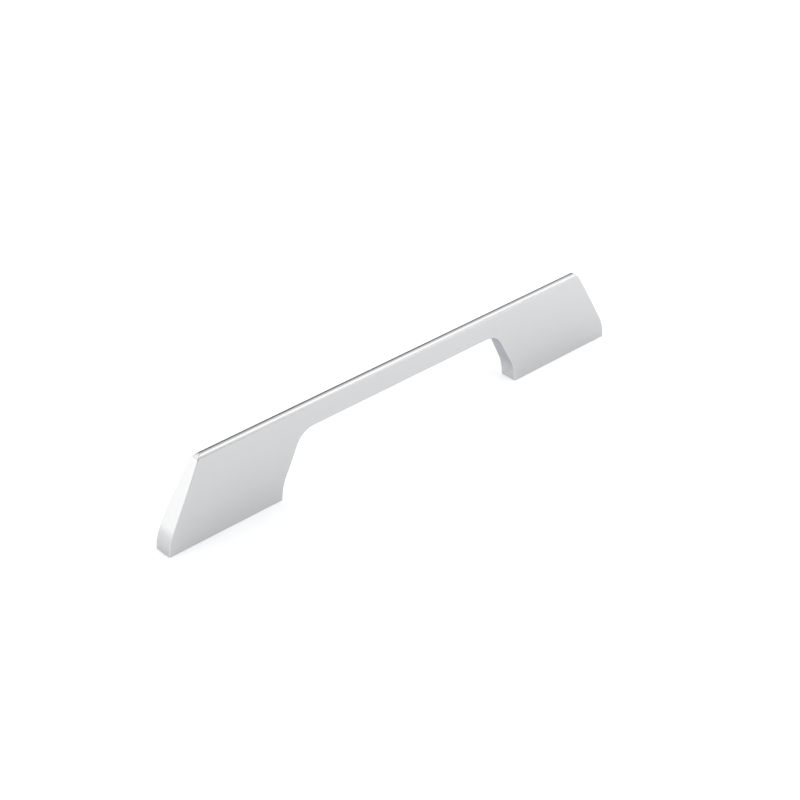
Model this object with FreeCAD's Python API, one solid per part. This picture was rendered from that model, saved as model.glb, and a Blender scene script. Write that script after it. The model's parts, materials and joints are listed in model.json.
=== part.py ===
"""Arch handle for a door or drawer front, in one piece of aluminium.

It is an extruded strip with a full-round top, and its front and back are gently bowed, so that it thins
towards the top. Milling gives it slanted ends and a wide gap in the middle, so that two feet carry a slim
grip. Each foot has a blind threaded screw hole in its underside. Sizes are in millimetres and angles in
degrees. X runs along the grip, -Y faces out of the front and +Z points away from the furniture. The origin
is the middle of the plane in which both feet stand on the furniture.
"""

import FreeCAD, Part
import math
import os

# Driving sizes: the outline, seen from the front
hole_spacing = 160.0  # from screw to screw, five steps of the 32 mm furniture grid
foot_length = 48.0  # along the furniture, with the screw in the middle
total_height = 32.5  # from the furniture to the top of the grip
finger_clearance = 23.5  # from the furniture to the underside of the grip
outer_slant = 28.7  # lean of the two ends, from upright
inner_slant = 28.0  # lean of the feet's inner sides, from upright
outer_toe_radius = 19.0  # arc that brings an end upright where it meets the furniture
inner_toe_radius = 20.0  # the same at the inner side of a foot
grip_corner_radius = 8.5  # between the inner side of a foot and the underside of the grip
end_corner_radius = 3.6  # between an end and the top of the grip
end_corner_rise = 0.1  # height above the grip at which the end corner's arc would level out

# Driving sizes: the section of the strip
foot_thickness = 7.1  # from front to back, on the furniture
front_radius = 300.0  # bow of the front, which is upright at the furniture
back_radius = 190.0  # bow of the back, from the foot's back edge
top_radius = 1.75  # full round along the top

# Driving sizes: edges and screw holes
edge_radius = 0.3  # broken edges all round
thread_diameter = 4.0  # M4: the bore has the thread's outer diameter, down to the thread's end
thread_depth = 10.0  # from the furniture
core_diameter = 3.3  # tapping drill, seen below the thread
drilled_depth = 12.5  # from the furniture to the end of the drill's full diameter
drill_point_angle = 118.0  # at the bottom of the hole
mouth_diameter = 4.6  # countersink at the mouth of the hole

# How far a cutting outline reaches past the stock
overshoot = 2.0
# Faces that meet at less than this angle already flow into each other
smooth_angle = 4.0

overall_length = hole_spacing + foot_length
half_gap = (hole_spacing - foot_length) / 2
front_y = -foot_thickness / 2
back_y = foot_thickness / 2
round_centre_z = total_height - top_radius


def section_face():
    """The strip's section in the YZ plane: flat foot, bowed front, full-round top and bowed back.

    Front and back are one arc each, and both run smoothly into the round of the top. The front's arc starts
    upright at the foot, which gives the round's centre. The back's arc starts at the foot's back edge, so
    its centre is one back radius from that edge, and a top radius less than that from the round's centre.
    """
    front_foot = FreeCAD.Vector(0, front_y, 0)
    front_centre = FreeCAD.Vector(0, front_y + front_radius, 0)
    reach = math.sqrt((front_radius - top_radius) ** 2 - round_centre_z**2)
    round_centre = FreeCAD.Vector(0, front_centre.y - reach, round_centre_z)

    back_foot = FreeCAD.Vector(0, back_y, 0)
    link = round_centre - back_foot
    along = back_radius**2 - (back_radius - top_radius) ** 2 + link.Length**2
    along /= 2 * link.Length
    aside = math.sqrt(back_radius**2 - along**2)
    link.normalize()
    back_centre = back_foot + link * along + FreeCAD.Vector(0, -link.z, link.y) * aside

    def arc(centre, radius, start, end):
        """The shorter arc of that centre and radius from start to end."""
        middle = ((start - centre).normalize() + (end - centre).normalize()).normalize()
        return Part.Arc(start, centre + middle * radius, end).toShape()

    front_join = round_centre + (round_centre - front_centre).normalize() * top_radius
    back_join = round_centre + (round_centre - back_centre).normalize() * top_radius
    edges = [
        Part.LineSegment(front_foot, back_foot).toShape(),
        arc(back_centre, back_radius, back_foot, back_join),
        arc(round_centre, top_radius, back_join, front_join),
        arc(front_centre, front_radius, front_join, front_foot),
    ]
    return Part.Face(Part.Wire(edges))


def leaning_side(foot_x, slant, toe_radius, corner_radius, level_z):
    """One side of the arch in the XZ plane, from below the furniture up to the height level_z.

    It starts upright at foot_x, leans inwards through the toe arc, runs straight at the slant and levels
    out through the corner arc.
    """
    lean = math.radians(slant)

    def on_arc(centre_x, centre_z, radius, angle):
        return FreeCAD.Vector(centre_x + radius * math.cos(angle), 0, centre_z + radius * math.sin(angle))

    toe_x = foot_x - toe_radius
    toe_end = on_arc(toe_x, 0, toe_radius, lean)
    corner_z = level_z - corner_radius
    straight = (corner_z + corner_radius * math.sin(lean) - toe_end.z) / math.cos(lean)
    corner_x = toe_end.x - straight * math.sin(lean) - corner_radius * math.cos(lean)
    corner_start = on_arc(corner_x, corner_z, corner_radius, lean)
    corner_middle = on_arc(corner_x, corner_z, corner_radius, (lean + math.pi / 2) / 2)
    corner_end = on_arc(corner_x, corner_z, corner_radius, math.pi / 2)
    below = FreeCAD.Vector(foot_x, 0, -overshoot)
    foot = FreeCAD.Vector(foot_x, 0, 0)
    return [
        Part.LineSegment(below, foot).toShape(),
        Part.Arc(foot, on_arc(toe_x, 0, toe_radius, lean / 2), toe_end).toShape(),
        Part.LineSegment(toe_end, corner_start).toShape(),
        Part.Arc(corner_start, corner_middle, corner_end).toShape(),
    ]


def arch_prism(right_side):
    """A block whose outline is the given side, its mirror image and level lines, wider than the strip."""
    left_side = [edge.mirror(FreeCAD.Vector(0, 0, 0), FreeCAD.Vector(1, 0, 0)) for edge in right_side]
    low = right_side[0].Vertexes[0].Point
    high = right_side[-1].Vertexes[-1].Point
    sill = Part.LineSegment(FreeCAD.Vector(-low.x, 0, low.z), low).toShape()
    lintel = Part.LineSegment(high, FreeCAD.Vector(-high.x, 0, high.z)).toShape()
    outline = Part.Wire(Part.__sortEdges__([sill, lintel] + right_side + left_side))
    block = Part.Face(outline).extrude(FreeCAD.Vector(0, foot_thickness + 2 * overshoot, 0))
    block.translate(FreeCAD.Vector(0, front_y - overshoot, 0))
    return block


def sharp_edges(solid):
    """Edges where two faces meet at an angle, leaving out those where one face flows into the next."""
    found = []
    for edge in solid.Edges:
        middle = edge.valueAt((edge.FirstParameter + edge.LastParameter) / 2)
        normals = []
        for face in solid.ancestorsOfType(edge, Part.Face):
            normals.append(face.normalAt(*face.Surface.parameter(middle)))
        if math.degrees(normals[0].getAngle(normals[-1])) > smooth_angle:
            found.append(edge)
    return found


def screw_hole(x):
    """The room of one tapped hole at x: countersink, threaded stretch, run-out, drill and drill point.

    The countersink and the run-out at the thread's end both open at 45 degrees.
    """
    mouth_radius = mouth_diameter / 2
    thread_radius = thread_diameter / 2
    core_radius = core_diameter / 2
    point_depth = core_radius / math.tan(math.radians(drill_point_angle / 2))
    steps = [
        (0, -overshoot),
        (mouth_radius + overshoot, -overshoot),
        (thread_radius, mouth_radius - thread_radius),
        (thread_radius, thread_depth),
        (core_radius, thread_depth + thread_radius - core_radius),
        (core_radius, drilled_depth),
        (0, drilled_depth + point_depth),
        (0, -overshoot),
    ]
    profile = Part.makePolygon([FreeCAD.Vector(x + radius, 0, depth) for radius, depth in steps])
    return Part.Face(profile).revolve(FreeCAD.Vector(x, 0, 0), FreeCAD.Vector(0, 0, 1), 360)


def handle():
    """The strip cut to its arch outline, with its edges broken and its screw holes made."""
    strip = section_face().extrude(FreeCAD.Vector(overall_length + 2 * overshoot, 0, 0))
    strip.translate(FreeCAD.Vector(-overall_length / 2 - overshoot, 0, 0))
    ends = leaning_side(
        overall_length / 2,
        outer_slant,
        outer_toe_radius,
        end_corner_radius,
        total_height + end_corner_rise,
    )
    gap = leaning_side(half_gap, inner_slant, inner_toe_radius, grip_corner_radius, finger_clearance)
    body = strip.common(arch_prism(ends)).cut(arch_prism(gap))
    body = body.makeFillet(edge_radius, sharp_edges(body))
    for side in (-1, 1):
        body = body.cut(screw_hole(side * hole_spacing / 2))
    return body.Solids[0]


os.makedirs("parts", exist_ok=True)
handle().exportStep("parts/handle.step")
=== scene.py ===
"""The looks of an arch handle in satin anodised aluminium, on a pale floor in soft studio light.

All lengths are in metres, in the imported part's own frame: X along the grip, -Y out of the front and +Z away
from the surface that the feet stand on. Headings are in degrees from +Y towards +X, and heights are in
degrees above the horizon.
"""

import json
import math

import bpy
from mathutils import Matrix, Vector


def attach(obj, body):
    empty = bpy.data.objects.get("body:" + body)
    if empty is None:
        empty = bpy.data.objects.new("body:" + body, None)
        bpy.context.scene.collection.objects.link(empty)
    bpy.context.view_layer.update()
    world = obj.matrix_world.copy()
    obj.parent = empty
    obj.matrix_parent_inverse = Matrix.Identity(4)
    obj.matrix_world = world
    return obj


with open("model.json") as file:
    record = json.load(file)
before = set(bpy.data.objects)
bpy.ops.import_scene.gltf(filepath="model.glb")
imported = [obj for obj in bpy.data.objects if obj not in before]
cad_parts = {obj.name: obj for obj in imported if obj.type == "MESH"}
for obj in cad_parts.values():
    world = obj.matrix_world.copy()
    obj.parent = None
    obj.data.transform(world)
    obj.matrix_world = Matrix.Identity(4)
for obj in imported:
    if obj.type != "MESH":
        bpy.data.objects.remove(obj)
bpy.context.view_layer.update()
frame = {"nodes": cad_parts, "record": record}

MM = 0.001

# Camera: the view of the photograph, with the lens's focal length in millimetres
CAMERA_AIM = Vector((0.540, -0.600, 14.500)) * MM
CAMERA_DISTANCE = 710.09 * MM
CAMERA_HEADING = math.radians(43.172)
CAMERA_TILT = math.radians(33.485)
CAMERA_ROLL = math.radians(0.873)
CAMERA_LENS = 90.777
CAMERA_NEAR = 0.01
CAMERA_FAR = 50.0

# Light tent: its even radiance, and the patches of its wall that are brighter or darker. A patch fades from
# its core to its rim, and both are given as shares of its half width and half height.
TENT_COLOR = (0.998, 0.999, 1.0, 1)
TENT_RADIANCE = 0.735
TENT_PATCHES = [
    # heading, height, half width, half height, change of radiance
    (144, 52, 59, 15, 1.62),
    (-70, 4, 66, 36, 1.1),
    (34, 26, 19, 24, -0.95),
    (190, 34, 60, 23, -1.2),
    (47, 43, 80, 31, 0.41),
]
PATCH_CORE = 0.45
PATCH_RIM = 1.25

# Softboxes around the handle: they add a gentle slope to the floor's brightness
SOFTBOX_COLOR = (1.0, 0.99, 0.965)
SOFTBOXES = [
    # name, aim along X, heading, height, distance, side, radiance
    ("right_softbox", 0.0, 106, 17, 0.55, 0.25, 4.4),
    ("front_right_softbox", 0.0, 150, 30, 0.60, 0.30, 1.05),
    ("far_front_softbox", 0.1, 150, 20, 0.35, 0.20, 0.42),
    ("back_left_softbox", 0.0, -50, 50, 0.60, 0.30, 1.1),
]

# Floor: pale, and lit a little from below like a studio's light table
FLOOR_HALF = 4.0
FLOOR_COLOR = (0.885, 0.9, 0.92, 1)
FLOOR_ROUGHNESS = 0.9
FLOOR_GLOW = 0.28

# Satin aluminium: plain metal under a thin clear anodised layer
METAL_COLOR = (0.553, 0.553, 0.554)
METAL_ROUGHNESS = 0.29
# Painted light: the colour of the milled ends and undersides is lightened by this factor, so that they shade
# brighter than the drawn faces
MILLED_PAINTED_LIGHT = 1.05
GRAZING_TINT = (0.44, 0.45, 0.52, 1)
LAYER_WEIGHT = 0.1
LAYER_ROUGHNESS = 0.22
LAYER_IOR = 1.6

# Its milled faces: the shares of a face's normal along X, or along Z, over which drawn turns into milled
MILLED_SIDEWAYS = (0.05, 0.3)
MILLED_DOWNWARDS = (-0.3, -0.7)

# Its grain: blotches per metre along X, Y and Z
DRAWN_LINES = (25, 7000, 7000)
DRAWN_STREAKS = (9, 1100, 1100)
CUTTER_LINES = (5500, 60, 5500)
CUTTER_STREAKS = (800, 40, 800)
PITS = (8000, 8000, 8000)
CLOUDS = (45, 45, 45)
RELIEF_HEIGHT = 0.004 * MM

# Points of the handle's mesh that are nearer to each other than this shade as one
WELD_DISTANCE = 0.0001 * MM

# Thread of the screw holes, M4: its ridge is rooted a little inside the metal, and it fades to a small share
# of its height at both ends
PITCH = 0.7 * MM
MAJOR_RADIUS = 2.0 * MM
MINOR_RADIUS = 1.65 * MM
FLANK_ANGLE = math.radians(30)
ROOT_WIDTH = PITCH * 7 / 8
CREST_WIDTH = PITCH / 4
THREAD_START = 0.35 * MM
THREAD_END = 9.9 * MM
THREAD_SINK = 0.03 * MM
FADED_SHARE = 0.05
STEPS_PER_TURN = 40


def add_node(tree, kind, inputs, **settings):
    """A node of the given kind. Each input is a value or another node's output."""
    node = tree.nodes.new(kind)
    for name, value in settings.items():
        setattr(node, name, value)
    for key, value in inputs.items():
        if isinstance(value, bpy.types.NodeSocket):
            tree.links.new(value, node.inputs[key])
        else:
            node.inputs[key].default_value = value
    return node


def calculate(tree, operation, first, second=0.0):
    """One step of arithmetic on two values or outputs."""
    return add_node(tree, "ShaderNodeMath", {0: first, 1: second}, operation=operation).outputs[0]


def map_range(tree, value, low, high, to_low=0.0, to_high=1.0):
    """The value's stretch from low to high, laid smoothly over to_low to to_high."""
    inputs = {"Value": value, "From Min": low, "From Max": high, "To Min": to_low, "To Max": to_high}
    return add_node(tree, "ShaderNodeMapRange", inputs, interpolation_type="SMOOTHSTEP").outputs["Result"]


def make_camera():
    """The camera looks at the aim point from the front left and above."""
    level = Vector((math.sin(CAMERA_HEADING), math.cos(CAMERA_HEADING), 0))
    forward = level * math.cos(CAMERA_TILT) - Vector((0, 0, math.sin(CAMERA_TILT)))
    right = Vector((math.cos(CAMERA_HEADING), -math.sin(CAMERA_HEADING), 0))
    upward = right.cross(forward)
    turned_right = right * math.cos(CAMERA_ROLL) + upward * math.sin(CAMERA_ROLL)
    turned_up = upward * math.cos(CAMERA_ROLL) - right * math.sin(CAMERA_ROLL)
    data = bpy.data.cameras.new("camera")
    data.lens = CAMERA_LENS
    data.clip_start = CAMERA_NEAR
    data.clip_end = CAMERA_FAR
    camera = bpy.data.objects.new("camera", data)
    rotation = Matrix((turned_right, turned_up, -forward)).transposed()
    camera.matrix_world = Matrix.Translation(CAMERA_AIM - forward * CAMERA_DISTANCE) @ rotation.to_4x4()
    bpy.context.scene.collection.objects.link(camera)
    bpy.context.scene.camera = camera


def tent_patch(tree, heading, height, patch):
    """How much one patch of the tent's wall changes the radiance in a direction, fading at its border.

    The turn from the patch's heading is brought into the range from -180 to 180 degrees.
    """
    patch_heading, patch_height, half_width, half_height, change = patch
    turn = calculate(tree, "SUBTRACT", heading, patch_heading - 540.0)
    turn = calculate(tree, "FLOORED_MODULO", turn, 360.0)
    aside = calculate(tree, "DIVIDE", calculate(tree, "SUBTRACT", turn, 180.0), half_width)
    above = calculate(tree, "DIVIDE", calculate(tree, "SUBTRACT", height, patch_height), half_height)
    aside = calculate(tree, "MULTIPLY", aside, aside)
    above = calculate(tree, "MULTIPLY", above, above)
    apart = calculate(tree, "SQRT", calculate(tree, "ADD", aside, above))
    return map_range(tree, apart, PATCH_CORE, PATCH_RIM, change, 0.0)


def make_tent():
    """White cloth all round, lit evenly but for a few soft patches."""
    world = bpy.data.worlds.new("light_tent")
    world.use_nodes = True
    tree = world.node_tree
    direction = add_node(tree, "ShaderNodeTexCoord", {}).outputs["Generated"]
    axes = add_node(tree, "ShaderNodeSeparateXYZ", {0: direction})
    height = calculate(tree, "DEGREES", calculate(tree, "ARCSINE", axes.outputs["Z"]))
    heading = calculate(tree, "DEGREES", calculate(tree, "ARCTAN2", axes.outputs["X"], axes.outputs["Y"]))
    radiance = TENT_RADIANCE
    for patch in TENT_PATCHES:
        radiance = calculate(tree, "ADD", radiance, tent_patch(tree, heading, height, patch))
    background = tree.nodes["Background"]
    background.inputs["Color"].default_value = TENT_COLOR
    tree.links.new(calculate(tree, "MAXIMUM", radiance, 0.0), background.inputs["Strength"])
    bpy.context.scene.world = world


def make_softbox(name, aim, heading, height, distance, side, radiance):
    """A square soft light that faces a point of the X axis. The camera doesn't see it."""
    heading = math.radians(heading)
    height = math.radians(height)
    level = Vector((math.sin(heading), math.cos(heading), 0))
    place = level * math.cos(height) + Vector((0, 0, math.sin(height)))
    data = bpy.data.lights.new(name, "AREA")
    data.size = side
    data.color = SOFTBOX_COLOR
    data.energy = radiance * math.pi * side**2
    light = bpy.data.objects.new(name, data)
    light.location = place * distance + Vector((aim, 0, 0))
    light.rotation_euler = place.to_track_quat("Z", "Y").to_euler()
    light.visible_camera = False
    bpy.context.scene.collection.objects.link(light)


def make_floor():
    """A wide pale floor, level with the undersides of the feet."""
    half = FLOOR_HALF
    corners = [(-half, -half, 0), (half, -half, 0), (half, half, 0), (-half, half, 0)]
    mesh = bpy.data.meshes.new("floor")
    mesh.from_pydata(corners, [], [(0, 1, 2, 3)])
    floor = bpy.data.objects.new("floor", mesh)
    bpy.context.scene.collection.objects.link(floor)
    material = bpy.data.materials.new("pale_floor")
    material.use_nodes = True
    shader = material.node_tree.nodes["Principled BSDF"]
    shader.inputs["Base Color"].default_value = FLOOR_COLOR
    shader.inputs["Roughness"].default_value = FLOOR_ROUGHNESS
    shader.inputs["Specular IOR Level"].default_value = 0.0
    shader.inputs["Emission Color"].default_value = (1, 1, 1, 1)
    shader.inputs["Emission Strength"].default_value = FLOOR_GLOW
    mesh.materials.append(material)


def grain(tree, place, per_metre, detail=2.0):
    """A noise from 0 to 1 with so many blotches per metre along X, Y and Z."""
    scaled = add_node(tree, "ShaderNodeVectorMath", {0: place, 1: per_metre}, operation="MULTIPLY")
    inputs = {"Vector": scaled.outputs[0], "Scale": 1.0, "Detail": detail, "Roughness": 0.55}
    return add_node(tree, "ShaderNodeTexNoise", inputs).outputs["Fac"]


def blend(tree, share, first, second):
    """First where the share is 0, second where it is 1."""
    return add_node(tree, "ShaderNodeMix", {"Factor": share, "A": first, "B": second}).outputs["Result"]


def weighted_sum(tree, start, parts):
    """The start plus each part's distance from 0.5, times its weight."""
    total = start
    for value, weight in parts:
        inputs = {0: value, 1: weight, 2: -0.5 * weight}
        change = add_node(tree, "ShaderNodeMath", inputs, operation="MULTIPLY_ADD").outputs[0]
        total = calculate(tree, "ADD", total, change)
    return total


def satin_aluminium():
    """Dull silver anodised aluminium, with lengthwise grain where drawn and cutter marks where milled, and
    painted light that lightens the colour of the milled faces.
    """
    material = bpy.data.materials.new("satin_aluminium_finish")
    material.use_nodes = True
    tree = material.node_tree
    shader = tree.nodes["Principled BSDF"]
    where = add_node(tree, "ShaderNodeTexCoord", {})
    place = where.outputs["Object"]
    facing = add_node(tree, "ShaderNodeSeparateXYZ", {0: where.outputs["Normal"]})

    sideways = map_range(tree, calculate(tree, "ABSOLUTE", facing.outputs["X"]), *MILLED_SIDEWAYS)
    downwards = map_range(tree, facing.outputs["Z"], *MILLED_DOWNWARDS)
    milled = calculate(tree, "MAXIMUM", sideways, downwards)

    drawn_lines = grain(tree, place, DRAWN_LINES)
    drawn_streaks = grain(tree, place, DRAWN_STREAKS)
    cutter_lines = grain(tree, place, CUTTER_LINES)
    cutter_streaks = grain(tree, place, CUTTER_STREAKS)
    lines = blend(tree, milled, drawn_lines, cutter_lines)
    streaks = blend(tree, milled, drawn_streaks, cutter_streaks)
    pits = grain(tree, place, PITS, 1.0)
    clouds = grain(tree, place, CLOUDS, 3.0)

    tone = weighted_sum(tree, 1.0, [(lines, 0.03), (streaks, 0.015), (pits, 0.03), (clouds, 0.02)])
    # Painted light: the milled ends and undersides get a lighter colour, so that they shade brighter
    tone = calculate(tree, "MULTIPLY", tone, map_range(tree, milled, 0.0, 1.0, 1.0, MILLED_PAINTED_LIGHT))
    color = add_node(tree, "ShaderNodeVectorMath", {0: METAL_COLOR, "Scale": tone}, operation="SCALE")
    tree.links.new(color.outputs[0], shader.inputs["Base Color"])
    roughness = weighted_sum(tree, METAL_ROUGHNESS, [(lines, 0.03), (streaks, 0.02), (clouds, 0.03)])
    tree.links.new(roughness, shader.inputs["Roughness"])
    height = weighted_sum(tree, 0.5, [(lines, 0.5), (streaks, 0.05), (pits, 0.5)])
    relief = {"Strength": 1.0, "Distance": RELIEF_HEIGHT, "Height": height}
    bump = add_node(tree, "ShaderNodeBump", relief)
    tree.links.new(bump.outputs[0], shader.inputs["Normal"])

    shader.inputs["Metallic"].default_value = 1.0
    shader.inputs["Specular Tint"].default_value = GRAZING_TINT
    shader.inputs["Coat Weight"].default_value = LAYER_WEIGHT
    shader.inputs["Coat Roughness"].default_value = LAYER_ROUGHNESS
    shader.inputs["Coat IOR"].default_value = LAYER_IOR
    return material


def dress_handle(material):
    """The handle keeps its own mesh. Joined points and weighted normals let its faces shade as one skin."""
    handle = frame["nodes"]["handle"]
    handle.material_slots[0].material = material
    weld = handle.modifiers.new("weld", "WELD")
    weld.merge_threshold = WELD_DISTANCE
    weighted = handle.modifiers.new("weighted", "WEIGHTED_NORMAL")
    weighted.keep_sharp = True


def make_thread(name, x, material):
    """The ridge of a tapped hole: one helix that stands on the bore and fades out at both ends."""
    turns = (THREAD_END - THREAD_START - PITCH) / PITCH
    steps = round(turns * STEPS_PER_TURN)
    root = MAJOR_RADIUS + THREAD_SINK
    half_root = ROOT_WIDTH / 2 + THREAD_SINK * math.tan(FLANK_ANGLE)
    half_crest = CREST_WIDTH / 2
    points = []
    faces = []
    for step in range(steps + 1):
        turn = step / STEPS_PER_TURN
        angle = 2 * math.pi * turn
        fade = min(1.0, 2 * turn, 2 * (turns - turn))
        crest = MAJOR_RADIUS - (MAJOR_RADIUS - MINOR_RADIUS) * max(fade, FADED_SHARE)
        middle = THREAD_START + PITCH * (turn + 0.5)
        section = ((root, -half_root), (crest, -half_crest), (crest, half_crest), (root, half_root))
        for radius, rise in section:
            points.append((x + radius * math.cos(angle), radius * math.sin(angle), middle + rise))
        if step:
            new = 4 * step
            old = new - 4
            for corner in range(4):
                following = (corner + 1) % 4
                faces.append((old + corner, new + corner, new + following, old + following))
    faces.append((3, 2, 1, 0))
    last = 4 * steps
    faces.append((last, last + 1, last + 2, last + 3))
    mesh = bpy.data.meshes.new(name)
    mesh.from_pydata(points, [], faces)
    mesh.materials.append(material)
    thread = bpy.data.objects.new(name, mesh)
    bpy.context.scene.collection.objects.link(thread)
    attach(thread, "root")


make_camera()
make_tent()
for softbox in SOFTBOXES:
    make_softbox(*softbox)
make_floor()
metal = satin_aluminium()
dress_handle(metal)
for mount in frame["record"]["mounts"]:
    if mount["kind"] == "threaded_hole":
        make_thread(mount["name"].replace("screw_hole", "thread"), mount["pos_m"][0], metal)
bpy.context.scene.view_settings.view_transform = "Standard"
